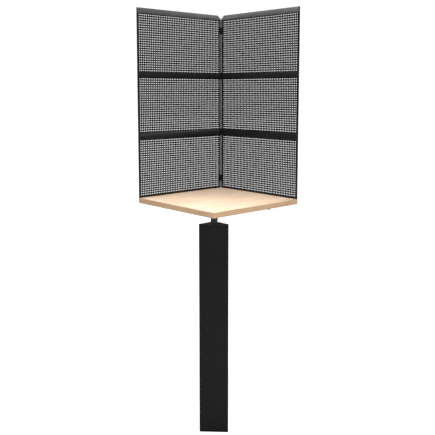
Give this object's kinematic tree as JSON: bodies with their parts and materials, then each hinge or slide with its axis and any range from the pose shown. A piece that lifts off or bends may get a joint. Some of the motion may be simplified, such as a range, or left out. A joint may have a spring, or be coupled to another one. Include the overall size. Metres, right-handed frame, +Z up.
{
  "type": "pegboard display stand",
  "caption": "Corner pegboard display stand: two perforated steel wings at right angles on a square wooden shelf, carried by a three-sided pedestal column and a low foot.",
  "frame": {"origin": "on the floor under the middle of the square shelf, which is the middle of the bounding box seen from above", "axes": "+Z up; the front is -Y, where the shelf points a corner at the viewer; the wings meet at +Y; +X is to the viewer's right"},
  "size_m": [0.898, 0.898, 2.222],
  "materials": {
    "maple_face": "clear satin lacquer",
    "maple_edge": "clear satin lacquer",
    "black_plastic": "moulded",
    "zinc_fasteners": "zinc plated",
    "black_fasteners": "black oxide",
    "bare_steel": "oiled mill steel",
    "panel_coat": "satin powder coat",
    "top_rail_coat": "satin powder coat",
    "column_coat": "satin powder coat",
    "frame_coat": "satin powder coat"
  },
  "bodies": {
    "stand": {"shelf_board": "maple_face", "shelf_edge_bands": "maple_edge", "shelf_screws": "zinc_fasteners", "spine_tube": "frame_coat", "cross_arm_left": "frame_coat", "cross_arm_right": "frame_coat", "tube_end_plugs": "black_plastic", "fixing_tabs": "frame_coat", "spine_bolts": "zinc_fasteners", "column_front": "column_coat", "column_rear": "column_coat", "column_rivets": "black_fasteners", "column_cap": "column_coat", "mast_tube": "bare_steel", "mast_head_plate": "bare_steel", "foot_plate": "bare_steel", "foot_plate_bolts": "zinc_fasteners", "foot_channel": "frame_coat", "foot_end_plates": "frame_coat", "ballast_bar": "bare_steel", "ballast_bolts": "zinc_fasteners", "glide_plates": "bare_steel", "outer_post_left": "frame_coat", "outer_post_right": "frame_coat", "inner_post_left": "frame_coat", "inner_post_right": "frame_coat", "bottom_rail_left": "frame_coat", "bottom_rail_right": "frame_coat", "top_rail_left": "top_rail_coat", "top_rail_right": "top_rail_coat", "top_rail_end_plates": "top_rail_coat", "upper_rail_left": "frame_coat", "upper_rail_right": "frame_coat", "lower_rail_left": "frame_coat", "lower_rail_right": "frame_coat", "rail_end_plates": "frame_coat", "peg_panel_lower_left": "panel_coat", "peg_panel_middle_left": "panel_coat", "peg_panel_upper_left": "panel_coat", "peg_panel_lower_right": "panel_coat", "peg_panel_middle_right": "panel_coat", "peg_panel_upper_right": "panel_coat", "panel_screws": "black_fasteners", "rail_screws": "black_fasteners", "rail_nuts": "zinc_fasteners", "wing_bolts": "zinc_fasteners", "corner_clips": "frame_coat", "corner_screws": "black_fasteners"},
    "glide_front_left": {"glide_stud_front_left": "zinc_fasteners", "glide_pad_front_left": "black_plastic"},
    "glide_front_right": {"glide_stud_front_right": "zinc_fasteners", "glide_pad_front_right": "black_plastic"},
    "glide_rear_left": {"glide_stud_rear_left": "zinc_fasteners", "glide_pad_rear_left": "black_plastic"},
    "glide_rear_right": {"glide_stud_rear_right": "zinc_fasteners", "glide_pad_rear_right": "black_plastic"}
  },
  "joints": [
    {"name": "level_front_left", "type": "slide", "parent": "stand", "child": "glide_front_left", "axis": [0, 0, -1], "range_m": [0, 0.01]},
    {"name": "level_front_right", "type": "slide", "parent": "stand", "child": "glide_front_right", "axis": [0, 0, -1], "range_m": [0, 0.01]},
    {"name": "level_rear_left", "type": "slide", "parent": "stand", "child": "glide_rear_left", "axis": [0, 0, -1], "range_m": [0, 0.01]},
    {"name": "level_rear_right", "type": "slide", "parent": "stand", "child": "glide_rear_right", "axis": [0, 0, -1], "range_m": [0, 0.01]}
  ]
}
